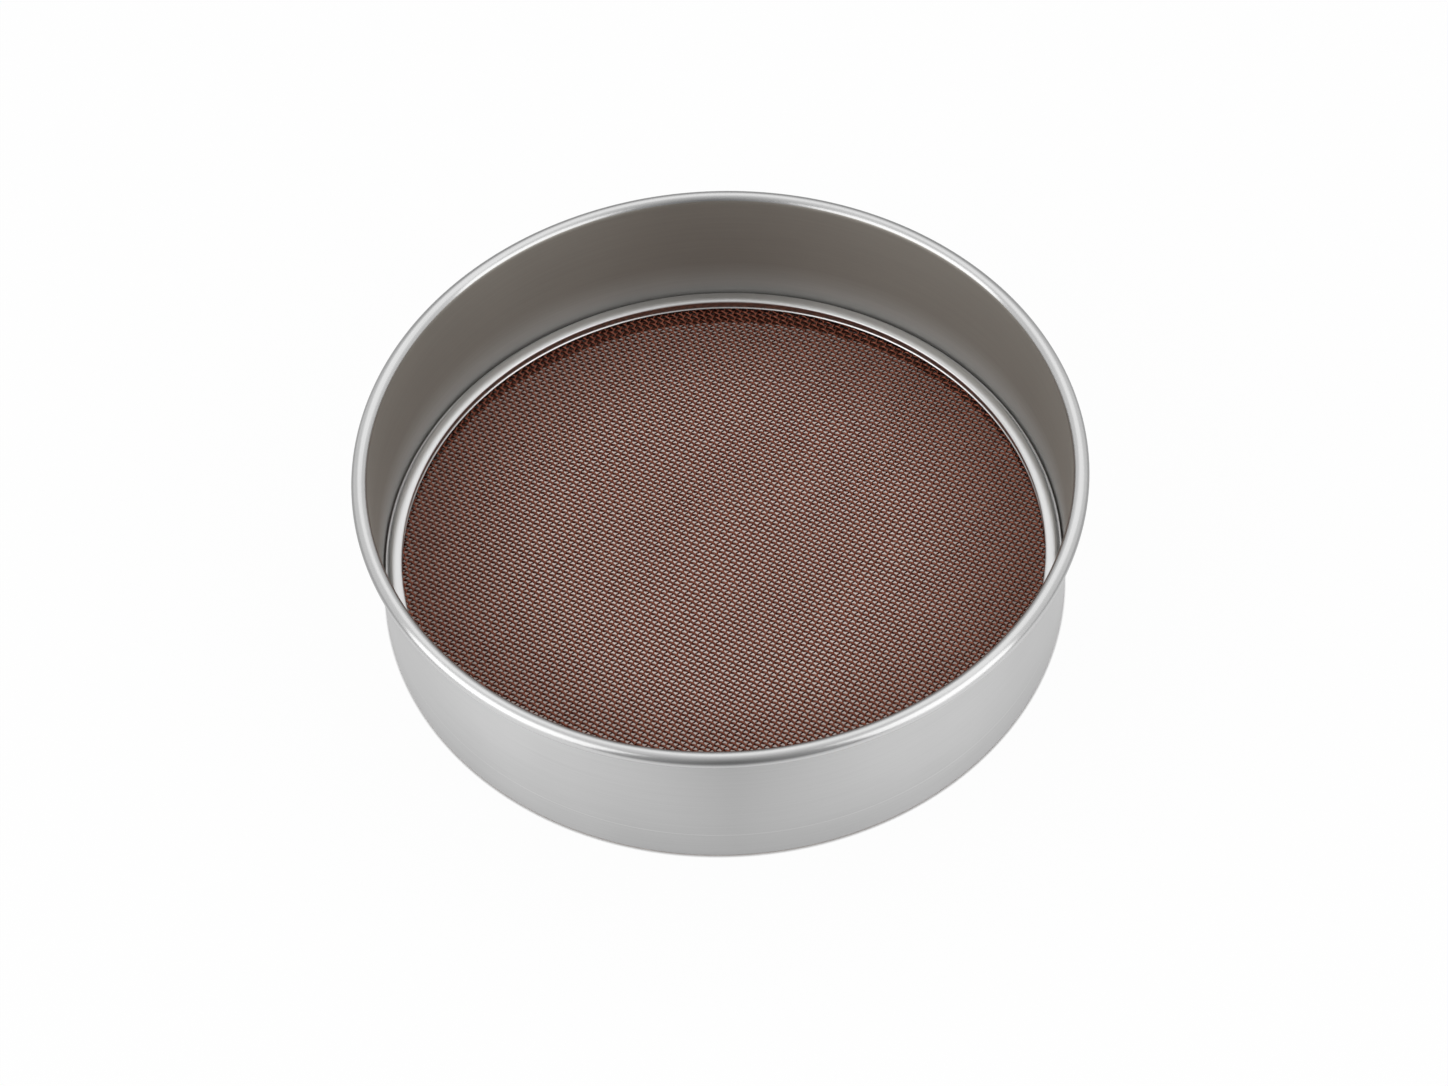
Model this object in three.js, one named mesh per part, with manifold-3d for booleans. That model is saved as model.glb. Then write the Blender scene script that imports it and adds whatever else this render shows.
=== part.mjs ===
// Flour sieve: a round steel hoop with a wired rim, and a disc of woven wire cloth
// held near the foot between a seat ring below it and a formed clamp ring above it.
// Millimetres, +Z up. The origin is the centre of the face that the foot stands on.

import * as THREE from 'three';
import { mergeGeometries, mergeVertices } from 'three/addons/utils/BufferGeometryUtils.js';
import Module from 'manifold-3d';

const DEGREE = Math.PI / 180;

// Hoop
const FOOT_RADIUS = 100;              // outer face of the foot band
const OVERALL_HEIGHT = 53.3;          // foot to the top of the rim
const HOOP_SHEET = 0.6;
const RIM_BEAD_RADIUS = 2.3;          // outside of the rolled rim, in section
const RIM_SLIT = 0.4;                 // between the free edge of the roll and the wall
const WALL_DRAFT = 1.64 * DEGREE;     // the wall opens a little towards the rim
const SHOULDER_STEP = 0.1;            // how far the wall stands out from the foot band
const SHOULDER_BEND = 1.5;
const FOOT_BEND = 0.5;
const HEM_HEIGHT = 3.5;               // top of the leg that is folded in at the foot

// Wire cloth. The real cloth has wires every 1.5 mm; this net has the same wires, wider apart.
const CLOTH_TOP = 10.4;               // height of its upper face
const CLOTH_THICKNESS = 1.3;
const NET_WIRE = 0.7;
const NET_PITCH = 10.6;
const NET_TURN = -33.5 * DEGREE;
const LEAST_NET_GAP = 1.5;            // smaller corners of gaps at the edge are left closed

// Seat ring
const SEAT_SHEET = 0.6;
const SEAT_WIDTH = 5;                 // its leg's outer face to its inner edge
const SEAT_BEND = 1;

// Clamp ring
const CLAMP_SHEET = 0.5;
const CLAMP_WIDTH = 5.0;              // its lip's outer face to its nose
const CLAMP_HEIGHT = 4.1;             // the toe's underside to the top of the crown
const CLAMP_TOE_FLARE = 50 * DEGREE;
const CLAMP_TOE = 0.4;                // straight stretch of the flared toe
const CLAMP_TOE_BEND = 0.3;
const CLAMP_FACE_LEAN = 12 * DEGREE;  // the inner face leans out over the cloth
const CLAMP_NOSE_BEND = 0.3;
const CLAMP_BROW_FALL = 40 * DEGREE;  // slope where the brow meets the nose
const CLAMP_BROW_BEND = 0.95;
const CLAMP_CROWN_FALL = 17 * DEGREE; // slope of the crown where it meets the brow
const CLAMP_SHOULDER_BEND = 0.7;
const CLAMP_FLANK_FALL = 70 * DEGREE;
const CLAMP_FLANK = 1.94;             // straight stretch down to the valley beside the wall
const CLAMP_VALLEY_BEND = 0.3;
const CLAMP_LIP_HEIGHT = 0.1;         // straight stretch of the lip beside the wall

// Clearances
const SEATING_GAP = 0.3;              // between pieces that press on each other
const RIM_WIRE_GAP = 0.3;             // between the rim wire and the sheet rolled round it
const CLOTH_EDGE_GAP = 0.5;           // between the cloth's edge and the foot band
const CLAMP_WALL_GAP = 0.6;           // the dark line between the clamp ring's lip and the wall

// Facets
const RING_SEGMENTS = 60;
const RIM_WIRE_SIDES = 8;
const BEND_STEP = 30 * DEGREE;

// Places that several pieces share
const FOOT_INNER_RADIUS = FOOT_RADIUS - HOOP_SHEET;
const WALL_INNER_RADIUS = FOOT_INNER_RADIUS + SHOULDER_STEP;
const ROLL_RADIUS = RIM_BEAD_RADIUS - HOOP_SHEET / 2;
const BEAD_CENTRE_HEIGHT = OVERALL_HEIGHT - RIM_BEAD_RADIUS;
const SEAT_OUTER_RADIUS = FOOT_INNER_RADIUS - SEATING_GAP;
const SEAT_INNER_RADIUS = SEAT_OUTER_RADIUS - SEAT_WIDTH;
const CLOTH_BOTTOM = CLOTH_TOP - CLOTH_THICKNESS;

const wasm = await Module();
wasm.setup();

// A sheet strip seen in section, drawn along the middle of the sheet as straight runs and
// bends. A heading of 0 points away from the axis and 90 degrees points up; a positive bend
// turns left.
class Strip {
  constructor(radius, height, heading) {
    this.radius = radius;
    this.height = height;
    this.heading = heading;
    this.stations = [];
    this.mark();
  }

  mark() {
    this.stations.push({ radius: this.radius, height: this.height, heading: this.heading });
  }

  run(length) {
    this.radius += length * Math.cos(this.heading);
    this.height += length * Math.sin(this.heading);
    this.mark();
    return this;
  }

  bend(angle, bendRadius) {
    const turn = Math.sign(angle) * bendRadius;
    const centreRadius = this.radius - turn * Math.sin(this.heading);
    const centreHeight = this.height + turn * Math.cos(this.heading);
    const start = this.heading;
    const steps = Math.ceil(Math.abs(angle) / BEND_STEP);
    for (let step = 1; step <= steps; step += 1) {
      this.heading = start + (angle * step) / steps;
      this.radius = centreRadius + turn * Math.sin(this.heading);
      this.height = centreHeight - turn * Math.cos(this.heading);
      this.mark();
    }
    return this;
  }

  outline(thickness) {
    const side = (distance) => this.stations.map(({ radius, height, heading }) => new THREE.Vector2(
      radius - distance * Math.sin(heading),
      height + distance * Math.cos(heading),
    ));
    return [...side(-thickness / 2), ...side(thickness / 2).reverse()];
  }
}

// Revolves a closed section about the Z axis.
function ring(section) {
  return new THREE.LatheGeometry([...section, section[0]], RING_SEGMENTS).rotateX(Math.PI / 2);
}

// The hoop's sheet from the hem's free edge, round the foot and up to where the rim's roll begins.
function wallStrip() {
  const legSpacing = SEAT_SHEET + 2 * SEATING_GAP + HOOP_SHEET;
  const bendHeight = HOOP_SHEET / 2 + FOOT_BEND;
  const shoulderTurn = Math.acos(1 - SHOULDER_STEP / (2 * SHOULDER_BEND));
  const shoulderStart = CLOTH_TOP - SHOULDER_BEND * Math.sin(shoulderTurn);
  const strip = new Strip(FOOT_RADIUS - HOOP_SHEET / 2 - legSpacing, HEM_HEIGHT, -Math.PI / 2)
    .run(HEM_HEIGHT - bendHeight)
    .bend(Math.PI / 2, FOOT_BEND)
    .run(legSpacing - 2 * FOOT_BEND)
    .bend(Math.PI / 2, FOOT_BEND)
    .run(shoulderStart - bendHeight)
    .bend(-shoulderTurn, SHOULDER_BEND)
    .bend(shoulderTurn - WALL_DRAFT, SHOULDER_BEND);
  const rollStart = BEAD_CENTRE_HEIGHT + ROLL_RADIUS * Math.sin(WALL_DRAFT);
  return strip.run((rollStart - strip.height) / Math.cos(WALL_DRAFT));
}

function hoopGeometry() {
  const openAngle = Math.acos(1 - (HOOP_SHEET + RIM_SLIT) / ROLL_RADIUS);
  return ring(wallStrip().bend(openAngle - 2 * Math.PI, ROLL_RADIUS).outline(HOOP_SHEET));
}

function rimWireGeometry() {
  const wireRadius = RIM_BEAD_RADIUS - HOOP_SHEET - RIM_WIRE_GAP;
  const centreRadius = wallStrip().radius + ROLL_RADIUS * Math.cos(WALL_DRAFT);
  const section = [];
  for (let side = 0; side < RIM_WIRE_SIDES; side += 1) {
    const angle = (2 * Math.PI * side) / RIM_WIRE_SIDES;
    section.push(new THREE.Vector2(
      centreRadius + wireRadius * Math.cos(angle),
      BEAD_CENTRE_HEIGHT + wireRadius * Math.sin(angle),
    ));
  }
  return ring(section);
}

// An angle ring: its leg stands in the channel of the hoop's hem, its flange carries the cloth.
function seatRingGeometry() {
  const legMiddle = SEAT_OUTER_RADIUS - SEAT_SHEET / 2;
  const legFoot = HOOP_SHEET + SEATING_GAP;
  const flangeMiddle = CLOTH_BOTTOM - SEATING_GAP - SEAT_SHEET / 2;
  const strip = new Strip(legMiddle, legFoot, Math.PI / 2)
    .run(flangeMiddle - SEAT_BEND - legFoot)
    .bend(Math.PI / 2, SEAT_BEND)
    .run(legMiddle - SEAT_BEND - SEAT_INNER_RADIUS);
  return ring(strip.outline(SEAT_SHEET));
}

// A formed ring: a flared toe on the cloth, an inner face that leans out to a sharp nose, a low
// crown, a steep flank, and a small lip in the valley beside the wall.
function clampRingGeometry() {
  const half = CLAMP_SHEET / 2;
  const lipMiddle = WALL_INNER_RADIUS - CLAMP_WALL_GAP - half;
  const noseMiddle = lipMiddle + CLAMP_SHEET - CLAMP_WIDTH;
  const toeBottom = CLOTH_TOP + SEATING_GAP;
  const toeHeading = Math.PI / 2 - CLAMP_TOE_FLARE;
  const faceHeading = Math.PI / 2 + CLAMP_FACE_LEAN;
  const noseReach = CLAMP_NOSE_BEND * (1 - Math.sin(CLAMP_BROW_FALL));
  const browReach = CLAMP_BROW_BEND * (Math.sin(CLAMP_BROW_FALL) - Math.sin(CLAMP_CROWN_FALL));
  const shoulderReach = CLAMP_SHOULDER_BEND * Math.sin(CLAMP_FLANK_FALL);
  const flankReach = CLAMP_FLANK * Math.cos(CLAMP_FLANK_FALL);
  const valleyReach = CLAMP_VALLEY_BEND * (1 + Math.sin(CLAMP_FLANK_FALL));
  const innerReach = noseReach + browReach;
  const outerReach = shoulderReach + flankReach + valleyReach;
  const crownReach = lipMiddle - noseMiddle - innerReach - outerReach;
  const crownBend = crownReach / Math.sin(CLAMP_CROWN_FALL);
  const browTop = toeBottom + CLAMP_HEIGHT - half - crownBend * (1 - Math.cos(CLAMP_CROWN_FALL));
  const noseTop = browTop - CLAMP_BROW_BEND * (Math.cos(CLAMP_CROWN_FALL) - Math.cos(CLAMP_BROW_FALL));
  const faceTop = noseTop + CLAMP_NOSE_BEND * (Math.cos(faceHeading) - Math.cos(CLAMP_BROW_FALL));
  const faceTopRadius = noseMiddle + CLAMP_NOSE_BEND * (1 - Math.sin(faceHeading));
  const toeHeight = toeBottom + half * Math.cos(toeHeading);
  const toeTop = toeHeight + CLAMP_TOE * Math.sin(toeHeading);
  const faceFoot = toeTop + CLAMP_TOE_BEND * (Math.cos(toeHeading) - Math.cos(faceHeading));
  const face = (faceTop - faceFoot) / Math.sin(faceHeading);
  const faceFootRadius = faceTopRadius - face * Math.cos(faceHeading);
  const toeTopRadius = faceFootRadius - CLAMP_TOE_BEND * (Math.sin(faceHeading) - Math.sin(toeHeading));
  const toeRadius = toeTopRadius - CLAMP_TOE * Math.cos(toeHeading);
  const strip = new Strip(toeRadius, toeHeight, toeHeading)
    .run(CLAMP_TOE)
    .bend(faceHeading - toeHeading, CLAMP_TOE_BEND)
    .run(face)
    .bend(CLAMP_BROW_FALL - faceHeading, CLAMP_NOSE_BEND)
    .bend(CLAMP_CROWN_FALL - CLAMP_BROW_FALL, CLAMP_BROW_BEND)
    .bend(-CLAMP_CROWN_FALL, crownBend)
    .bend(-CLAMP_FLANK_FALL, CLAMP_SHOULDER_BEND)
    .run(CLAMP_FLANK)
    .bend(Math.PI / 2 + CLAMP_FLANK_FALL, CLAMP_VALLEY_BEND)
    .run(CLAMP_LIP_HEIGHT);
  return ring(strip.outline(CLAMP_SHEET));
}

function toSolid(geometry) {
  const bare = geometry.clone();
  bare.deleteAttribute('normal');
  bare.deleteAttribute('uv');
  const merged = mergeVertices(bare);
  return new wasm.Manifold(new wasm.Mesh({
    numProp: 3,
    vertProperties: new Float32Array(merged.attributes.position.array),
    triVerts: new Uint32Array(merged.index.array),
  }));
}

function toGeometry(solid) {
  const mesh = solid.getMesh();
  const geometry = new THREE.BufferGeometry();
  geometry.setAttribute('position', new THREE.BufferAttribute(mesh.vertProperties, 3));
  geometry.setIndex(new THREE.BufferAttribute(mesh.triVerts, 1));
  geometry.computeVertexNormals();
  return geometry;
}

function disc(radius, height) {
  return new THREE.CylinderGeometry(radius, radius, height, RING_SEGMENTS).rotateX(Math.PI / 2);
}

// Square gaps in a turned grid, cut off by the round inner edge of the seat ring.
function clothGeometry() {
  const gap = NET_PITCH - NET_WIRE;
  const cutHeight = 2 * CLOTH_THICKNESS;
  const reach = Math.ceil(SEAT_INNER_RADIUS / NET_PITCH);
  const openings = [];
  for (let column = -reach; column < reach; column += 1) {
    for (let row = -reach; row < reach; row += 1) {
      const x = (column + 0.5) * NET_PITCH;
      const y = (row + 0.5) * NET_PITCH;
      const nearest = Math.hypot(Math.abs(x) - gap / 2, Math.abs(y) - gap / 2);
      if (nearest < SEAT_INNER_RADIUS - LEAST_NET_GAP) {
        openings.push(new THREE.BoxGeometry(gap, gap, cutHeight).translate(x, y, 0));
      }
    }
  }
  const grid = toSolid(mergeGeometries(openings).rotateZ(NET_TURN));
  const cut = grid.intersect(toSolid(disc(SEAT_INNER_RADIUS, cutHeight)));
  const sheet = toSolid(disc(FOOT_INNER_RADIUS - CLOTH_EDGE_GAP, CLOTH_THICKNESS));
  return toGeometry(sheet.subtract(cut));
}

function piece(name, geometry, color, roughness, metalness) {
  const mesh = new THREE.Mesh(geometry, new THREE.MeshStandardMaterial({ color, roughness, metalness }));
  mesh.name = name;
  return mesh;
}

const sieve = new THREE.Group();
sieve.add(piece('hoop', hoopGeometry(), '#b9b9b6', 0.32, 1));
sieve.add(piece('rim_wire', rimWireGeometry(), '#a6a6a3', 0.45, 1));
sieve.add(piece('seat_ring', seatRingGeometry(), '#aeaeab', 0.4, 1));
sieve.add(piece('clamp_ring', clampRingGeometry(), '#c2c2bf', 0.25, 1));

const cloth = piece('wire_cloth', clothGeometry(), '#573a31', 0.5, 0.8);
cloth.position.z = CLOTH_TOP - CLOTH_THICKNESS / 2;
sieve.add(cloth);

export default sieve;
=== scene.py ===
# %% [markdown]
# # A flour sieve
# A round drum sieve for the kitchen: a low hoop of thin satin steel with a rolled rim, and a disc of
# brown woven wire that two rings hold near the foot. The CAD frame gives the place and size of every
# piece. This lesson gives the pieces their smooth bends, their weave and their finishes.

# %% Load the frame
import math

import bmesh
import bpy
from mathutils import Matrix, Quaternion, Vector, noise


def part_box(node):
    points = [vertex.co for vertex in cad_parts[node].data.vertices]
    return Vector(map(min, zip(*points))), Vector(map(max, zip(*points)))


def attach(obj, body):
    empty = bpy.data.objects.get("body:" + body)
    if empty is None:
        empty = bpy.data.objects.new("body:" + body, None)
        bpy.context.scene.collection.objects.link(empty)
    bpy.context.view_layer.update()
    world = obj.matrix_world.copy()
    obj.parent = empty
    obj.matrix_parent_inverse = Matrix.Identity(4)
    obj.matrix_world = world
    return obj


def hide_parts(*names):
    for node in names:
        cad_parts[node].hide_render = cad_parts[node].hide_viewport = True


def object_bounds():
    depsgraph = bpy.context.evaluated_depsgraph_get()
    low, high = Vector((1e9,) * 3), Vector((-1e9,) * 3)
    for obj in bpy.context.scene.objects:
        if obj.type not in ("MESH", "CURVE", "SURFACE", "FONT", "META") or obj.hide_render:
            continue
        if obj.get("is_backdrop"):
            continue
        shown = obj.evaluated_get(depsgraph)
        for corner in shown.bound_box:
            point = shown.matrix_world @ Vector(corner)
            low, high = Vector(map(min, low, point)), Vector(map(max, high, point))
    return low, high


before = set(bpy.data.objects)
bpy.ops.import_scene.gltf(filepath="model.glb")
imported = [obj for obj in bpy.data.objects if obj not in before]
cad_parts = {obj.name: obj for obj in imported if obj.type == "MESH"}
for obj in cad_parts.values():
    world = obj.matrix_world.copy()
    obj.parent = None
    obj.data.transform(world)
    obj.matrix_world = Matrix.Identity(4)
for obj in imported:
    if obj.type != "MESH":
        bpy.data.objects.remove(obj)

MM = 0.001
cad_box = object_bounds()
print("CAD box in mm:", [[round(value / MM, 2) for value in corner] for corner in cad_box])

# %% [markdown]
# ## Camera
# The camera comes first, so that every later render can be held against the photograph. Its lens,
# distance, height and small roll come from a fit of the sieve's round edges to their ellipses in the
# picture. A camera looks along its own -Z, so a track rotation aims it and a turn about Z rolls it.

# %% Camera
# Blender gives a camera's sensor and lens in millimetres, and all places in metres.
SENSOR_WIDTH = 36
LENS = 104.97
ELEVATION = 52.35
DISTANCE = 1.2453
AIM = Vector((0.26, 0, 14.62)) * MM
ROLL = -2.45

scene = bpy.context.scene
camera_data = bpy.data.cameras.new("camera")
camera_data.sensor_width = SENSOR_WIDTH
camera_data.lens = LENS
camera = bpy.data.objects.new("camera", camera_data)
scene.collection.objects.link(camera)
scene.camera = camera

elevation = math.radians(ELEVATION)
camera.location = Vector((0, -math.cos(elevation), math.sin(elevation))) * DISTANCE
tracking = (AIM - camera.location).to_track_quat("-Z", "Y")
roll = Quaternion((0, 0, 1), math.radians(ROLL))
camera.rotation_euler = (tracking @ roll).to_euler()
print("camera at", [round(value, 3) for value in camera.location])

# %% [markdown]
# ## Colours and nodes
# Colours are written as the eye meets them, as sRGB hex values, and one function turns them into the
# linear numbers that shaders need. A second small function adds any node, sets its settings and fills
# its inputs: a plain value is written into the socket, and an output of another node is linked to it.

# %% Colours and nodes
def linear(hex_colour):
    channels = [int(hex_colour[start : start + 2], 16) / 255 for start in (1, 3, 5)]
    return [c / 12.92 if c <= 0.04045 else ((c + 0.055) / 1.055) ** 2.4 for c in channels] + [1]


def add_node(tree, kind, inputs=None, **settings):
    node = tree.nodes.new(kind)
    for name, value in settings.items():
        setattr(node, name, value)
    for key, value in (inputs or {}).items():
        if isinstance(value, bpy.types.NodeSocket):
            tree.links.new(value, node.inputs[key])
        else:
            node.inputs[key].default_value = value
    return node


def new_material(name):
    material = bpy.data.materials.new(name)
    material.use_nodes = True
    material.node_tree.nodes.clear()
    return material


print("a light steel grey is linear", [round(value, 3) for value in linear("#bdbcb8")])

# %% [markdown]
# ## Lines round the hoop
# The hoop and the rings were polished on a turning wheel, so very fine lines run round them. Noise that
# is stretched round the hoop gives them, and for that it gets its own coordinates: X and Y as they are,
# which change slowly along a line, and height plus radius, which changes across the lines on the upright
# wall and on flat faces alike. The real lines are about 0.05 mm apart, and here they are drawn 0.5 mm
# apart so that they show.

# %% Lines round the hoop
LINE_LENGTH = 40 * MM
LINE_SPACING = 0.5 * MM


def hoop_places(tree):
    place = add_node(tree, "ShaderNodeTexCoord").outputs["Object"]
    level = add_node(tree, "ShaderNodeVectorMath", {0: place, 1: (1, 1, 0)}, operation="MULTIPLY")
    radius = add_node(tree, "ShaderNodeVectorMath", {0: level.outputs[0]}, operation="LENGTH")
    radius = radius.outputs["Value"]
    axes = add_node(tree, "ShaderNodeSeparateXYZ", {0: place}).outputs
    across = add_node(tree, "ShaderNodeMath", {0: axes["Z"], 1: radius}).outputs[0]
    return place, axes, radius, across


print("a line is about", round(LINE_LENGTH / LINE_SPACING), "times as long as it is wide")

# %% [markdown]
# ## Satin stainless steel
# On real steel the lines can't be seen one by one, but they blur the reflections. One function makes all
# of the sieve's steel, from two tones and two roughnesses: a line that is brighter is also rougher. A
# second, large noise gives the slight unevenness of a sheet that was finished by hand.

# %% Satin stainless steel
LINE_DEPTH = 0.02 * MM
LINE_RELIEF = 0.03
PATCH = 45 * MM
# Two noises add up to about 1. Tone spreads over the middle of their range, roughness over more of it.
TONE_RANGE = {"From Min": 0.75, "From Max": 1.25}
ROUGHNESS_RANGE = {"From Min": 0.7, "From Max": 1.3}


def satin_steel(name, dull, bright, smoothest, roughest):
    material = new_material(name)
    tree = material.node_tree
    place, axes, _, across = hoop_places(tree)
    ratio = LINE_LENGTH / LINE_SPACING
    fine = add_node(tree, "ShaderNodeMath", {0: across, 1: ratio}, operation="MULTIPLY").outputs[0]
    turned = {0: axes["X"], 1: axes["Y"], 2: fine}
    turned = add_node(tree, "ShaderNodeCombineXYZ", turned).outputs[0]
    settings = {"Vector": turned, "Scale": 1 / LINE_LENGTH, "Detail": 3, "Roughness": 0.6}
    lines = add_node(tree, "ShaderNodeTexNoise", settings).outputs["Fac"]
    settings = {"Vector": place, "Scale": 1 / PATCH, "Detail": 2}
    patches = add_node(tree, "ShaderNodeTexNoise", settings).outputs["Fac"]
    both = add_node(tree, "ShaderNodeMath", {0: lines, 1: patches}).outputs[0]
    span = TONE_RANGE | {"Value": both}
    tone = add_node(tree, "ShaderNodeMapRange", span).outputs["Result"]
    colours = {0: tone, 6: linear(dull), 7: linear(bright)}
    colour = add_node(tree, "ShaderNodeMix", colours, data_type="RGBA").outputs[2]
    span = ROUGHNESS_RANGE | {"Value": both, "To Min": smoothest, "To Max": roughest}
    roughness = add_node(tree, "ShaderNodeMapRange", span).outputs["Result"]
    relief = {"Height": lines, "Strength": LINE_RELIEF, "Distance": LINE_DEPTH}
    relief = add_node(tree, "ShaderNodeBump", relief).outputs["Normal"]
    surface = {"Base Color": colour, "Metallic": 1, "Roughness": roughness, "Normal": relief}
    surface = add_node(tree, "ShaderNodeBsdfPrincipled", surface).outputs["BSDF"]
    add_node(tree, "ShaderNodeOutputMaterial", {"Surface": surface})
    print(name, "has", len(tree.nodes), "nodes")
    return material


# Satin steel shows soft, stretched reflections, and the pressed clamp ring is a little brighter. The
# seat ring is dull, with hardly a highlight, and the drawn wire is darker, with an uneven gloss.
hoop_steel = satin_steel("satin stainless steel", "#cbcbcb", "#d2d2d2", smoothest=0.3, roughest=0.36)
clamp_steel = satin_steel("bright pressed steel", "#d9d9d9", "#e1e1e1", smoothest=0.28, roughest=0.34)
seat_steel = satin_steel("dull pressed steel", "#b5b5b5", "#bcbcbc", smoothest=0.4, roughest=0.5)
wire_steel = satin_steel("drawn steel wire", "#a9a9a9", "#b1b1b1", smoothest=0.3, roughest=0.45)

# %% [markdown]
# ## The hoop's inside and outside
# The hoop is one sheet with three surfaces: a brushed outside, a duller inside, and a rim that the
# roller pressed smooth. Three materials would need the sheet cut up, so one material finds its place
# by itself. The wall leans out by 1.64 degrees, and the radius less that lean is the same all the way
# up, so it tells the inside of the sheet from the outside.

# %% The hoop's inside and outside
WALL_LEAN = 1.64
WALL_MIDDLE = 99.5 * MM
FADE = 0.05 * MM
tree = hoop_steel.node_tree
surface = tree.nodes["Principled BSDF"].inputs
place, axes, radius, across = hoop_places(tree)
upright = {0: axes["Z"], 1: -math.tan(math.radians(WALL_LEAN)), 2: radius}
upright = add_node(tree, "ShaderNodeMath", upright, operation="MULTIPLY_ADD").outputs[0]
span = {"Value": upright, "From Min": WALL_MIDDLE - FADE, "From Max": WALL_MIDDLE + FADE}
inside = add_node(tree, "ShaderNodeMapRange", span | {"To Min": 1, "To Max": 0}).outputs["Result"]
outside = add_node(tree, "ShaderNodeMath", {0: 1.0, 1: inside}, operation="SUBTRACT").outputs[0]
print("the wall's middle would meet the floor at a radius of", round(WALL_MIDDLE / MM, 1), "mm")

# %% [markdown]
# ## Gloss and brushing
# Roughness says how far each surface blurs what it mirrors. The inside is the roughest, and on the rim,
# where height plus radius is largest, roughness falls to a share of what it was. Brushing round the
# hoop draws reflections out across its lines. The shader calls that anisotropy and draws them out along
# a tangent, so the tangent runs round the hoop and is then given a quarter turn.

# %% Gloss and brushing
INSIDE_ROUGHNESS = 0.66
RIM_START = 152 * MM
RIM_FULL = 153 * MM
RIM_SHARE = 0.65
BRUSHED_OUTSIDE = 0.85
BRUSHED_INSIDE = 0.425
QUARTER_TURN = 0.25
polished = surface["Roughness"].links[0].from_socket
span = {"Value": inside, "To Min": polished, "To Max": INSIDE_ROUGHNESS}
roughness = add_node(tree, "ShaderNodeMapRange", span).outputs["Result"]
span = {"Value": across, "From Min": RIM_START, "From Max": RIM_FULL, "To Min": 1, "To Max": RIM_SHARE}
rolled = add_node(tree, "ShaderNodeMapRange", span).outputs["Result"]
roughness = {0: roughness, 1: rolled}
roughness = add_node(tree, "ShaderNodeMath", roughness, operation="MULTIPLY").outputs[0]
tree.links.new(roughness, surface["Roughness"])

brushed = {"Value": inside, "To Min": BRUSHED_OUTSIDE, "To Max": BRUSHED_INSIDE}
brushed = add_node(tree, "ShaderNodeMapRange", brushed).outputs["Result"]
round_hoop = {0: (0, 0, 1), 1: place}
round_hoop = add_node(tree, "ShaderNodeVectorMath", round_hoop, operation="CROSS_PRODUCT").outputs[0]
tree.links.new(brushed, surface["Anisotropic"])
tree.links.new(round_hoop, surface["Tangent"])
surface["Anisotropic Rotation"].default_value = QUARTER_TURN
print(hoop_steel.name, "is brushed by", BRUSHED_OUTSIDE, "outside and", BRUSHED_INSIDE, "inside")

# %% [markdown]
# ## The painted shade and the painted highlight line
# A painted shade darkens and warms the inside: it is weak beside the clamp ring, where the wall stays
# lighter, and full further up, and multiplying colours lets the steel's lines show through it. Outside,
# a faint painted highlight line lies along the shoulder's crease, at the level of the cloth's upper face.

# %% The painted shade and the painted highlight line
PAINTED_SHADE_LOW = 13 * MM
PAINTED_SHADE_HIGH = 26 * MM
PAINTED_SHADE_LEAST = 0.4
CREASE_HIGHLIGHT_HALF = 0.2 * MM
cloth_low, cloth_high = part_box("wire_cloth")
# Painted shade: the inside is darkened and warmed, least beside the clamp ring and full further up.
span = {"Value": axes["Z"], "From Min": PAINTED_SHADE_LOW, "From Max": PAINTED_SHADE_HIGH, "To Min": PAINTED_SHADE_LEAST, "To Max": 1}
above = add_node(tree, "ShaderNodeMapRange", span).outputs["Result"]
painted_shade = add_node(tree, "ShaderNodeMath", {0: above, 1: inside}, operation="MULTIPLY").outputs[0]
colours = {0: painted_shade, 6: surface["Base Color"].links[0].from_socket, 7: linear("#d6d2c9")}
colour = add_node(tree, "ShaderNodeMix", colours, data_type="RGBA", blend_type="MULTIPLY").outputs[2]
# Painted highlight: a faint light line on the outside, along the shoulder's crease at the cloth's upper
# face.
pressed = {0: axes["Z"], 1: cloth_high.z, 2: CREASE_HIGHLIGHT_HALF}
pressed = add_node(tree, "ShaderNodeMath", pressed, operation="COMPARE").outputs[0]
pressed = add_node(tree, "ShaderNodeMath", {0: pressed, 1: outside}, operation="MULTIPLY").outputs[0]
colours = {0: pressed, 6: colour, 7: linear("#dedede")}
colour = add_node(tree, "ShaderNodeMix", colours, data_type="RGBA").outputs[2]
tree.links.new(colour, surface["Base Color"])
print(hoop_steel.name, "now has", len(tree.nodes), "nodes")

# %% [markdown]
# ## A bent sheet
# Hoop and rings are sheet metal, and a sheet's section is a line of straight runs and round bends. It
# could be a curve with a profile, but then each bend needs its own handles. Here one vertex walks
# through the section instead: a run extrudes it straight on, and a bend spins it about the bend's
# centre. The line stands in the XZ plane, and a full spin about Z makes it a ring.

# %% A bent sheet
BEND_STEP = 10
ROUND_STEPS = 240
SAME_PLACE = 0.001 * MM


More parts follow.
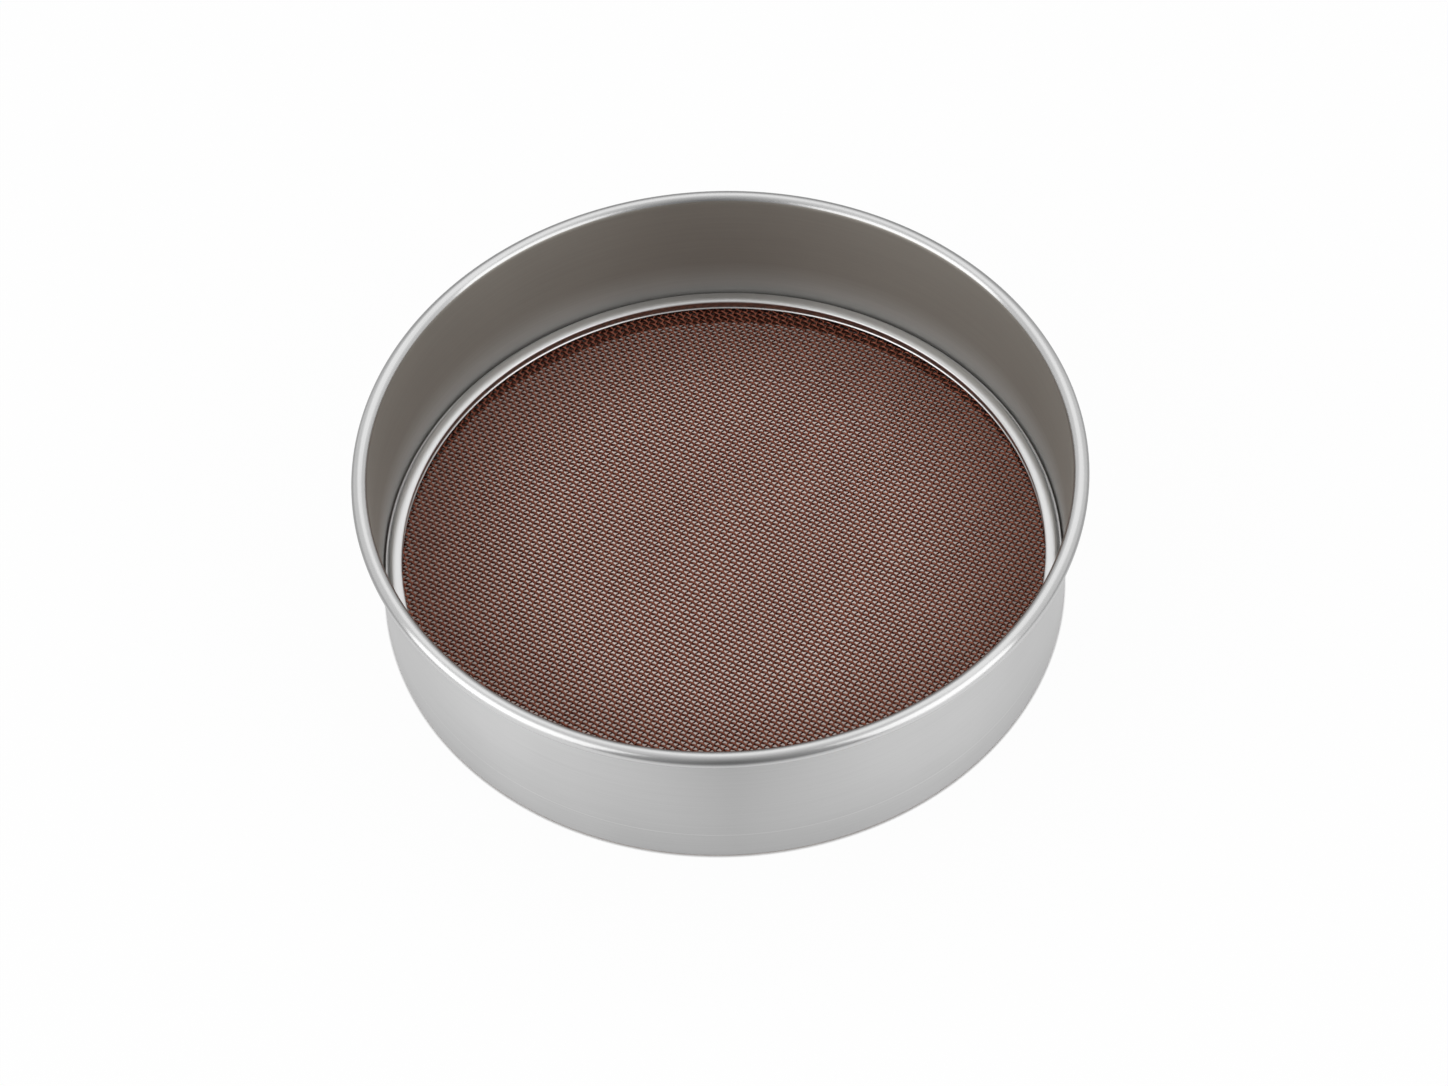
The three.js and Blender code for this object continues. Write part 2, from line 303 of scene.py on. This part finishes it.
class BentSheet:
    def __init__(self, radius, height, heading):
        self.bm = bmesh.new()
        self.tip = self.bm.verts.new((radius, 0, height))
        self.heading = math.radians(heading)

    def run(self, length):
        self.tip = bmesh.ops.extrude_vert_indiv(self.bm, verts=[self.tip])["verts"][0]
        step = Vector((math.cos(self.heading), 0, math.sin(self.heading))) * length
        bmesh.ops.translate(self.bm, verts=[self.tip], vec=step)

    def bend(self, degrees, radius):
        left = Vector((-math.sin(self.heading), 0, math.cos(self.heading)))
        centre = self.tip.co + left * math.copysign(radius, degrees)
        turn = {"axis": (0, -1, 0), "angle": math.radians(degrees)}
        steps = math.ceil(abs(degrees) / BEND_STEP)
        made = bmesh.ops.spin(self.bm, geom=[self.tip], cent=centre, steps=steps, **turn)
        self.tip = next(item for item in made["geom_last"] if isinstance(item, bmesh.types.BMVert))
        self.heading += math.radians(degrees)

    def spin_round(self):
        line = self.bm.verts[:] + self.bm.edges[:]
        turn = {"axis": (0, 0, 1), "angle": math.tau, "steps": ROUND_STEPS, "use_merge": True}
        bmesh.ops.spin(self.bm, geom=line, cent=(0, 0, 0), **turn)
        bmesh.ops.remove_doubles(self.bm, verts=self.bm.verts[:], dist=SAME_PLACE)
        bmesh.ops.recalc_face_normals(self.bm, faces=self.bm.faces[:])
        return self.bm


print("a square bend takes", math.ceil(90 / BEND_STEP), "steps, and a full ring", ROUND_STEPS)

# %% [markdown]
# ## A finished piece
# Every piece goes through one function. Its bmesh becomes a smooth mesh with one material, it rides
# on the root body, and the CAD solid that it replaces is hidden. A second function gives a sheet its
# thickness: a Solidify modifier adds half of it on each side of the line, and a fine Bevel takes the
# sharpness off the cut edges.

# %% A finished piece
SHARP_EDGE = 50


def add_piece(name, bm, material, node):
    mesh = bpy.data.meshes.new(name)
    bm.to_mesh(mesh)
    bm.free()
    mesh.shade_smooth()
    mesh.materials.append(material)
    piece = bpy.data.objects.new(name, mesh)
    scene.collection.objects.link(piece)
    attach(piece, "root")
    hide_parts(node)
    print(name, "has", len(mesh.polygons), "faces")
    return piece


def thicken(piece, sheet, rounding):
    wall = piece.modifiers.new("sheet thickness", "SOLIDIFY")
    wall.thickness = sheet
    wall.offset = 0
    edge = piece.modifiers.new("dressed edges", "BEVEL")
    edge.width = rounding
    edge.affect = "EDGES"
    edge.segments = 2
    edge.profile = 0.5
    edge.material = -1
    edge.limit_method = "ANGLE"
    edge.angle_limit = math.radians(SHARP_EDGE)


print("edges sharper than", SHARP_EDGE, "degrees are dressed")

# %% [markdown]
# ## The hoop
# The hoop is one strip of 0.6 mm sheet. From the inside it goes down the hem, under the foot, up past
# a faint shoulder at the level of the cloth, up the wall, which leans out by less than two degrees,
# and round the rim's roll, which closes on the wall from outside. The line walks that way in one go.

# %% The hoop
HOOP_SHEET = 0.6 * MM
HEM_RADIUS = 97.9 * MM
HEM_HEIGHT = 3.5 * MM
FOOT_BEND = 0.5 * MM
FOOT_FLAT = 0.8 * MM
SHOULDER_TURN = 14.84
SHOULDER_BEND = 1.5 * MM
ROLL_RADIUS = 2.0 * MM
ROLL_TURN = 300
EDGE_ROUNDING = 0.1 * MM

hoop_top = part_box("hoop")[1].z
shoulder_rise = 2 * SHOULDER_BEND * math.sin(math.radians(SHOULDER_TURN))
roll_height = hoop_top - ROLL_RADIUS - HOOP_SHEET / 2
wall_top = roll_height + ROLL_RADIUS * math.sin(math.radians(WALL_LEAN))

hoop_line = BentSheet(HEM_RADIUS, HEM_HEIGHT, heading=-90)
hoop_line.run(HEM_HEIGHT - FOOT_BEND - HOOP_SHEET / 2)
hoop_line.bend(90, FOOT_BEND)
hoop_line.run(FOOT_FLAT)
hoop_line.bend(90, FOOT_BEND)
hoop_line.run(cloth_high.z - shoulder_rise / 2 - hoop_line.tip.co.z)
hoop_line.bend(-SHOULDER_TURN, SHOULDER_BEND)
hoop_line.bend(SHOULDER_TURN - WALL_LEAN, SHOULDER_BEND)
hoop_line.run((wall_top - hoop_line.tip.co.z) / math.cos(math.radians(WALL_LEAN)))
hoop_line.bend(-ROLL_TURN, ROLL_RADIUS)
hoop = add_piece("spun_hoop", hoop_line.spin_round(), hoop_steel, "hoop")
thicken(hoop, HOOP_SHEET, EDGE_ROUNDING)

# %% [markdown]
# ## The seat ring
# Two rings hold the cloth. The one below it is a plain angle, pressed from the same thin sheet: its
# leg stands in the channel of the hoop's foot, and its flange carries the cloth. It is hidden from
# above, but shows from below.

# %% The seat ring
SEAT_SHEET = 0.6 * MM
SEAT_BEND = 1.0 * MM
SEAT_RADIUS = 98.8 * MM
SEAT_FLANGE = 3.7 * MM
seat_low, seat_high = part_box("seat_ring")
seat_line = BentSheet(SEAT_RADIUS, seat_low.z, heading=90)
seat_line.run(seat_high.z - seat_low.z - SEAT_BEND - SEAT_SHEET / 2)
seat_line.bend(90, SEAT_BEND)
seat_line.run(SEAT_FLANGE)
seat = add_piece("pressed_seat_ring", seat_line.spin_round(), seat_steel, "seat_ring")
thicken(seat, SEAT_SHEET, EDGE_ROUNDING)

# %% [markdown]
# ## The clamp ring
# The ring above the cloth is the bright one, and its highlights tell its section. A short toe lies
# against the cloth. From there an inner face rises and leans in by 12 degrees to a tight nose, which
# throws the thin bright line along the cloth. A rounded brow leads on to a low crown, a tight shoulder
# turns down, and a steep flank drops to a small lip that stands up beside the wall. Each of these is
# one run or one bend, so the walk through the section reads like a list of the press tool's steps.

# %% The clamp ring
CLAMP_SHEET = 0.5 * MM
CLAMP_ROUNDING = 0.08 * MM
TIGHT = 0.3 * MM
TOE_RADIUS = 94.241 * MM
TOE_HEIGHT = 10.89 * MM
TOE_SLOPE = 40
TOE = 0.4 * MM
FACE_TURN = 62
FACE = 2.365 * MM
BROW_TURN = 23
BROW_BEND = 0.95 * MM
CROWN_TURN = 17
CROWN_BEND = 7.38 * MM
FLANK_TURN = 70
FLANK_BEND = 0.7 * MM
FLANK = 1.94 * MM
LIP_TURN = 160
LIP = 0.4 * MM

clamp_line = BentSheet(TOE_RADIUS, TOE_HEIGHT, heading=TOE_SLOPE)
clamp_line.run(TOE)
clamp_line.bend(FACE_TURN, TIGHT)
clamp_line.run(FACE)
clamp_line.bend(-FACE_TURN, TIGHT)
clamp_line.bend(-BROW_TURN, BROW_BEND)
clamp_line.bend(-CROWN_TURN, CROWN_BEND)
clamp_line.bend(-FLANK_TURN, FLANK_BEND)
clamp_line.run(FLANK)
clamp_line.bend(LIP_TURN, TIGHT)
clamp_line.run(LIP)
clamp_ring = clamp_line.spin_round()
clamp = add_piece("pressed_clamp_ring", clamp_ring, clamp_steel, "clamp_ring")
thicken(clamp, CLAMP_SHEET, CLAMP_ROUNDING)

# %% [markdown]
# ## Bronze wire
# The cloth is woven from bronze wire that has gone brown. Wire is drawn through a die, so it is
# smooth and slightly glossy, but its brown film is an oxide, which scatters light as paint does: the
# surface is only partly metallic. The film is uneven over a few wires, which a noise 6 mm wide gives.

# %% Bronze wire
# Browned bronze shows as dark, warm wires with small soft glints along their tops.
OXIDE_PATCH = 6 * MM
OXIDE_RANGE = {"From Min": 0.3, "From Max": 0.7}
OXIDE_ROUGHNESS = {"To Min": 0.24, "To Max": 0.16}
METAL_SHARE = 0.8
bronze = new_material("browned bronze wire")
tree = bronze.node_tree
place = add_node(tree, "ShaderNodeTexCoord").outputs["Object"]
settings = {"Vector": place, "Scale": 1 / OXIDE_PATCH, "Detail": 4, "Roughness": 0.7}
oxide = add_node(tree, "ShaderNodeTexNoise", settings).outputs["Fac"]
span = OXIDE_RANGE | {"Value": oxide}
oxide = add_node(tree, "ShaderNodeMapRange", span).outputs["Result"]
colours = {0: oxide, 6: linear("#784232"), 7: linear("#8c5341")}
brown = add_node(tree, "ShaderNodeMix", colours, data_type="RGBA").outputs[2]
span = OXIDE_ROUGHNESS | {"Value": oxide}
roughness = add_node(tree, "ShaderNodeMapRange", span).outputs["Result"]
surface = {"Base Color": brown, "Metallic": METAL_SHARE, "Roughness": roughness}
surface = add_node(tree, "ShaderNodeBsdfPrincipled", surface).outputs["BSDF"]
add_node(tree, "ShaderNodeOutputMaterial", {"Surface": surface})
print(bronze.name, "has", len(tree.nodes), "nodes")

# %% [markdown]
# ## The woven cloth
# In a plain weave each wire goes over one crossing wire and under the next, and its neighbour does
# the opposite. A texture could only paint that, and the floor shows through the openings, so the wires
# are real: a straight capped cylinder, cut into three steps from one wire to the next, and lifted and
# lowered by a cosine. Rows that count even start up, rows that count odd start down. The openings in
# the photograph run together along one way, so the warp wires are thicker than the weft wires. A thick
# wire bends less: each kind is lifted by the other's radius, so that they just touch where they cross.

# %% One wire of the cloth
WARP_RADIUS = 0.41 * MM
WEFT_RADIUS = 0.27 * MM
WIRE_SPACING = 1.54 * MM
WIRE_SIDES = 6
STEP = WIRE_SPACING / 3
CLOTH_RADIUS = 98.4 * MM
cloth_middle = (cloth_low.z + cloth_high.z) / 2


def crimped_wire(row, radius, lift):
    across = row * WIRE_SPACING
    half_steps = math.floor(math.sqrt(CLOTH_RADIUS**2 - across**2) / STEP)
    wire = bmesh.new()
    lying = Matrix.Translation((0, across, 0)) @ Matrix.Rotation(math.pi / 2, 4, "Y")
    ends = {"radius1": radius, "radius2": radius, "depth": 2 * half_steps * STEP}
    bmesh.ops.create_cone(wire, cap_ends=True, segments=WIRE_SIDES, matrix=lying, **ends)
    # With six sides the edges of an end are as long as the radius. All longer ones run along the wire.
    long_edges = [edge for edge in wire.edges if edge.calc_length() > 3 * radius]
    bmesh.ops.subdivide_edges(wire, edges=long_edges, cuts=2 * half_steps - 1, use_grid_fill=True)
    for vert in wire.verts:
        vert.co.z += lift * math.cos(math.pi * (vert.co.x / WIRE_SPACING + row))
    return wire


sample = crimped_wire(0, WARP_RADIUS, WEFT_RADIUS)
print("the longest wire has", len(sample.faces), "faces")
sample.free()

# %% [markdown]
# ## Uneven spacing
# No cloth is woven evenly: its wires stand closer in one place than in another. Three slow noises
# push the finished wires sideways, by up to a millimetre over a few centimetres, and by a tenth of a
# millimetre from wire to wire. All wires of a place are pushed alike, so that they still cross where
# they did.

# %% Uneven spacing
WARP_TURN = -33.4
# Each noise has a length along the warp, a length along the weft, a layer and a greatest push.
WIDE_DRIFT = (22 * MM, 60 * MM, 0, 1.1 * MM)
SINGLE_DRIFT = (2 * MM, 80 * MM, 5, 0.12 * MM)
EVEN_DRIFT = (60 * MM, 25 * MM, 9, 0.4 * MM)
warp_along = Vector((math.cos(math.radians(WARP_TURN)), math.sin(math.radians(WARP_TURN)), 0))
weft_along = Vector((-warp_along.y, warp_along.x, 0))


def push(along, across, length, width, layer, most):
    return noise.noise((along / length, across / width, layer)) * most


def drift(place):
    along = place.dot(warp_along)
    across = place.dot(weft_along)
    # A push along the warp moves the weft wires sideways, and the other way round.
    weft_push = push(along, across, *WIDE_DRIFT) + push(along, across, *SINGLE_DRIFT)
    warp_push = push(along, across, *EVEN_DRIFT)
    return warp_along * weft_push + weft_along * warp_push


half_way = drift(warp_along * CLOTH_RADIUS / 2)
print("half way to the edge the wires are pushed by", round(half_way.length / MM, 2), "mm")

# %% [markdown]
# ## Laying the wires
# Each wire is a small bmesh of its own that is then added to a strip of cloth, because operators slow
# down in a large one. The strip is turned and lifted to its place before its wires are pushed. The cloth
# is cut in three strips each way so that no piece holds too many faces.

# %% Laying the wires
EDGE_MARGIN = 1.36 * MM
MIDDLE_SHARE = 0.27


def weave(name, rows, radius, lift, turn):
    strip = bmesh.new()
    one_wire = bpy.data.meshes.new("one wire")
    for row in rows:
        wire = crimped_wire(row, radius, lift)
        wire.to_mesh(one_wire)
        wire.free()
        strip.from_mesh(one_wire)
    bpy.data.meshes.remove(one_wire)
    laid = Matrix.Translation((0, 0, cloth_middle)) @ Matrix.Rotation(math.radians(turn), 4, "Z")
    bmesh.ops.transform(strip, matrix=laid, verts=strip.verts[:])
    for vert in strip.verts:
        vert.co += drift(vert.co)
    add_piece(name, strip, bronze, "wire_cloth")


last_row = math.floor((CLOTH_RADIUS - EDGE_MARGIN) / WIRE_SPACING)
cut = round(last_row * MIDDLE_SHARE)
strips = [range(-last_row, -cut), range(-cut, cut + 1), range(cut + 1, last_row + 1)]
for number, rows in enumerate(strips, 1):
    weave(f"warp_wires_{number}", rows, WARP_RADIUS, WEFT_RADIUS, WARP_TURN)
    weave(f"weft_wires_{number}", rows, WEFT_RADIUS, -WARP_RADIUS, WARP_TURN + 90)

# %% [markdown]
# ## The rim wire
# The wire inside the rolled rim is almost hidden, and its CAD shape is right as it is. It stays, and
# only gets a finish in its material slot.

# %% The rim wire
rim_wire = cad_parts["rim_wire"]
rim_wire.data.materials.clear()
rim_wire.data.materials.append(wire_steel)
print("rim wire finish:", rim_wire.data.materials[0].name)

# %% [markdown]
# ## The floor
# The sieve stands on a white sheet that runs out of the picture. A single large face is enough, a
# hair's breadth below the foot so that the two never share a plane.

# %% The floor
FLOOR_REACH = 4
FLOOR_DROP = 0.2 * MM
sheet = bmesh.new()
bmesh.ops.create_grid(sheet, x_segments=1, y_segments=1, size=FLOOR_REACH)
bmesh.ops.translate(sheet, verts=sheet.verts[:], vec=(0, 0, -FLOOR_DROP))
floor_mesh = bpy.data.meshes.new("floor")
sheet.to_mesh(floor_mesh)
sheet.free()
floor = bpy.data.objects.new("floor", floor_mesh)
scene.collection.objects.link(floor)
floor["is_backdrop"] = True
print("floor of", floor.dimensions.x, "m")

# %% [markdown]
# ## How steel mirrors the floor
# Polished steel shows the sheet that it stands on, and the photograph's rim and wall tell how bright
# that was: brightest beside the sieve, dimmer towards the camera and again behind, and a little shaded
# at the foot. One number, how far a place lies backward or aside, runs through all of this, and a ramp
# gives the brightness along it.

# %% How steel mirrors the floor
NEAREST = -260 * MM
FARTHEST = 140 * MM
FOOT = 100 * MM
SHADE_END = 125 * MM
SHADE = 0.72
ASIDE_SHARE = 0.8
NEAREST_GREY = 0.2
FARTHEST_GREY = 0.5
GREYS_BETWEEN = ((-150 * MM, 0.72), (-100 * MM, 0.96), (-20 * MM, 1), (92 * MM, 0.9))


def backward(tree, place):
    axes = add_node(tree, "ShaderNodeSeparateXYZ", {0: place}).outputs
    aside = add_node(tree, "ShaderNodeMath", {0: axes["X"]}, operation="ABSOLUTE").outputs[0]
    place = {0: aside, 1: ASIDE_SHARE, 2: axes["Y"]}
    return add_node(tree, "ShaderNodeMath", place, operation="MULTIPLY_ADD").outputs[0]


# Matt paper shows no gloss, only its own white and the shade that lies on it.
paper = new_material("white paper floor")
floor_mesh.materials.append(paper)
tree = paper.node_tree
place = add_node(tree, "ShaderNodeTexCoord").outputs["Object"]
distance = add_node(tree, "ShaderNodeVectorMath", {0: place}, operation="LENGTH").outputs["Value"]
span = {"Value": backward(tree, place), "From Min": NEAREST, "From Max": FARTHEST}
along = add_node(tree, "ShaderNodeMapRange", span).outputs["Result"]
mirrored = add_node(tree, "ShaderNodeValToRGB", {0: along})
greys = mirrored.color_ramp.elements
greys[0].color = (NEAREST_GREY, NEAREST_GREY, NEAREST_GREY, 1)
greys[1].color = (FARTHEST_GREY, FARTHEST_GREY, FARTHEST_GREY, 1)
for spot, grey in GREYS_BETWEEN:
    greys.new((spot - NEAREST) / (FARTHEST - NEAREST)).color = (grey, grey, grey, 1)
span = {"Value": distance, "From Min": FOOT, "From Max": SHADE_END, "To Min": SHADE, "To Max": 1}
shade = add_node(tree, "ShaderNodeMapRange", span).outputs["Result"]
mirrored = {0: mirrored.outputs["Color"], 1: shade}
mirrored = add_node(tree, "ShaderNodeMath", mirrored, operation="MULTIPLY").outputs[0]
print(len(greys), "brightnesses along the floor")

# %% [markdown]
# ## How the camera sees the floor
# For the camera, for mirrors and through glass the sheet round the sieve is light of its own, at
# strength 1 for the camera, with a small share of its real shading left in, so that a faint shadow
# stays and the foot keeps its contact line. Light Path tells these rays from the rays that light the
# object, which always meet plain paper. Inside the foot the paper's warm grey is the cloth's painted
# shade.

# %% How the camera sees the floor
HIDDEN_EDGE = 1 * MM
CONTACT_START = 0.05 * MM
CONTACT_END = 0.5 * MM
OWN_LIGHT = 0.95
span = {"Value": distance, "From Min": FOOT - HIDDEN_EDGE, "From Max": FOOT, "To Min": 1, "To Max": 0}
inside = add_node(tree, "ShaderNodeMapRange", span).outputs["Result"]
# Painted shade: inside the foot the paper's colour is a warm grey, standing in for the cloth's shade.
colours = {0: inside, 6: linear("#f2f2f2"), 7: linear("#9a8476")}
colour = add_node(tree, "ShaderNodeMix", colours, data_type="RGBA").outputs[2]
shaded = add_node(tree, "ShaderNodeBsdfDiffuse", {"Color": colour}).outputs[0]
path = add_node(tree, "ShaderNodeLightPath").outputs
mirrors = {0: path["Is Glossy Ray"], 1: path["Is Transmission Ray"]}
mirrors = add_node(tree, "ShaderNodeMath", mirrors, operation="MAXIMUM").outputs[0]
seen = {0: path["Is Camera Ray"], 1: mirrors}
seen = add_node(tree, "ShaderNodeMath", seen, operation="MAXIMUM").outputs[0]
span = {"Value": distance, "From Min": FOOT + CONTACT_START, "From Max": FOOT + CONTACT_END}
clear = add_node(tree, "ShaderNodeMapRange", span | {"To Min": 0, "To Max": OWN_LIGHT}).outputs["Result"]
share = add_node(tree, "ShaderNodeMath", {0: seen, 1: clear}, operation="MULTIPLY").outputs[0]
strength = {0: mirrored, 1: path["Is Camera Ray"]}
strength = add_node(tree, "ShaderNodeMath", strength, operation="MAXIMUM").outputs[0]
white = add_node(tree, "ShaderNodeEmission", {"Color": (1, 1, 1, 1), "Strength": strength}).outputs[0]
around = add_node(tree, "ShaderNodeMixShader", {0: share, 1: shaded, 2: white}).outputs[0]
print("the floor's own light reaches its full share", round(CONTACT_END / MM, 1), "mm from the foot")

# %% [markdown]
# ## Light through the cloth
# Through the openings of the cloth the camera sees light that was sifted down on to the middle of the
# sheet, full below the middle of the cloth and fading towards the wall. Only camera rays meet it.

# %% Light through the cloth
SIFTED_MIDDLE = (0, 12 * MM, 0)
SIFTED_FULL = 48 * MM
SIFTED_END = 100 * MM
SIFTED_MOST = 0.51
SIFTED_LEAST = 0.15
middle = {0: place, 1: SIFTED_MIDDLE}
middle = add_node(tree, "ShaderNodeVectorMath", middle, operation="DISTANCE").outputs["Value"]
span = {"Value": middle, "From Min": SIFTED_FULL, "From Max": SIFTED_END}
span |= {"To Min": SIFTED_MOST, "To Max": SIFTED_LEAST}
sifted = add_node(tree, "ShaderNodeMapRange", span, interpolation_type="SMOOTHSTEP").outputs["Result"]
sifted = {0: sifted, 1: path["Is Camera Ray"]}
sifted = add_node(tree, "ShaderNodeMath", sifted, operation="MULTIPLY").outputs[0]
sifted = add_node(tree, "ShaderNodeMath", {0: sifted, 1: inside}, operation="MULTIPLY").outputs[0]
warm = add_node(tree, "ShaderNodeEmission", {"Color": linear("#fff1ec"), "Strength": 1}).outputs[0]
surface = add_node(tree, "ShaderNodeMixShader", {0: sifted, 1: around, 2: warm}).outputs[0]
add_node(tree, "ShaderNodeOutputMaterial", {"Surface": surface})
print(paper.name, "has", len(tree.nodes), "nodes")

# %% [markdown]
# ## Light
# The photograph's highlights tell where its lights were: the rim and the ring are brightest where they
# mirror a direction above and behind the sieve, and the sides of the wall mirror something bright to
# the left and right. So there is one large, weak light above and behind, and a stronger one at each
# side. An area light's energy is worked out from its brightness, so that a larger light isn't a dimmer
# one.

# %% Light
def soft_light(name, place, width, height, radiance):
    lamp = bpy.data.lights.new(name, "AREA")
    lamp.shape = "RECTANGLE"
    lamp.size = width
    lamp.size_y = height
    lamp.energy = radiance * math.pi * width * height
    light = bpy.data.objects.new(name, lamp)
    light.location = place
    light.rotation_euler = (-Vector(place)).to_track_quat("-Z", "Y").to_euler()
    scene.collection.objects.link(light)
    print(name, "gives", round(lamp.energy, 1), "W")


soft_light("light above and behind", (0.18, 0.68, 1.32), width=1.8, height=1.0, radiance=0.4)
soft_light("light on the left", (-1.18, -0.66, 0.66), width=1.6, height=1.5, radiance=0.95)
soft_light("light on the right", (1.1, -0.77, 0.66), width=1.2, height=1.5, radiance=0.86)

# %% [markdown]
# ## The room
# The front of the rim mirrors a room that darkens evenly towards the camera, so the world dims that way
# by the same number that runs along the floor: a direction has no place, but its parts along X and Y
# count just as well. Low down behind the sieve the room is dim too, which draws the thin dark outline
# of the far rim. For the camera itself the room is white, as the sheet is.

# %% The room
DIM_END = {"From Min": -0.95, "To Min": 0.17}
LIGHT_END = {"From Max": 0.1, "To Max": 0.82}
LOW_BEHIND = {"From Min": 0.2, "From Max": 0.75, "To Min": 0.35, "To Max": 1}
STRAIGHT_BEHIND = {"From Min": 0.75, "From Max": 0.95, "To Min": 1}
world = bpy.data.worlds.new("studio")
scene.world = world
world.use_nodes = True
tree = world.node_tree
tree.nodes.clear()
direction = add_node(tree, "ShaderNodeTexCoord").outputs["Generated"]
span = DIM_END | LIGHT_END | {"Value": backward(tree, direction)}
room = add_node(tree, "ShaderNodeMapRange", span).outputs["Result"]
axes = add_node(tree, "ShaderNodeSeparateXYZ", {0: direction}).outputs
span = LOW_BEHIND | {"Value": axes["Z"]}
low = add_node(tree, "ShaderNodeMapRange", span).outputs["Result"]
span = STRAIGHT_BEHIND | {"Value": axes["Y"], "To Max": low}
low = add_node(tree, "ShaderNodeMapRange", span).outputs["Result"]
room = add_node(tree, "ShaderNodeMath", {0: room, 1: low}, operation="MULTIPLY").outputs[0]
camera_ray = add_node(tree, "ShaderNodeLightPath").outputs["Is Camera Ray"]
strength = add_node(tree, "ShaderNodeMath", {0: room, 1: camera_ray}, operation="MAXIMUM").outputs[0]
light = {"Color": (1, 1, 1, 1), "Strength": strength}
light = add_node(tree, "ShaderNodeBackground", light).outputs[0]
add_node(tree, "ShaderNodeOutputWorld", {"Surface": light})
# The Standard view shows the hex colours as they were written.
scene.view_settings.view_transform = "Standard"
print(world.name, "has", len(tree.nodes), "nodes")

# %% [markdown]
# ## Sizes
# Both boxes, the CAD model's and the visual model's, are printed.

# %% Sizes
boxes = {"cad": cad_box, "visual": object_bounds()}
boxes = {name: [list(corner) for corner in corners] for name, corners in boxes.items()}
print(boxes)
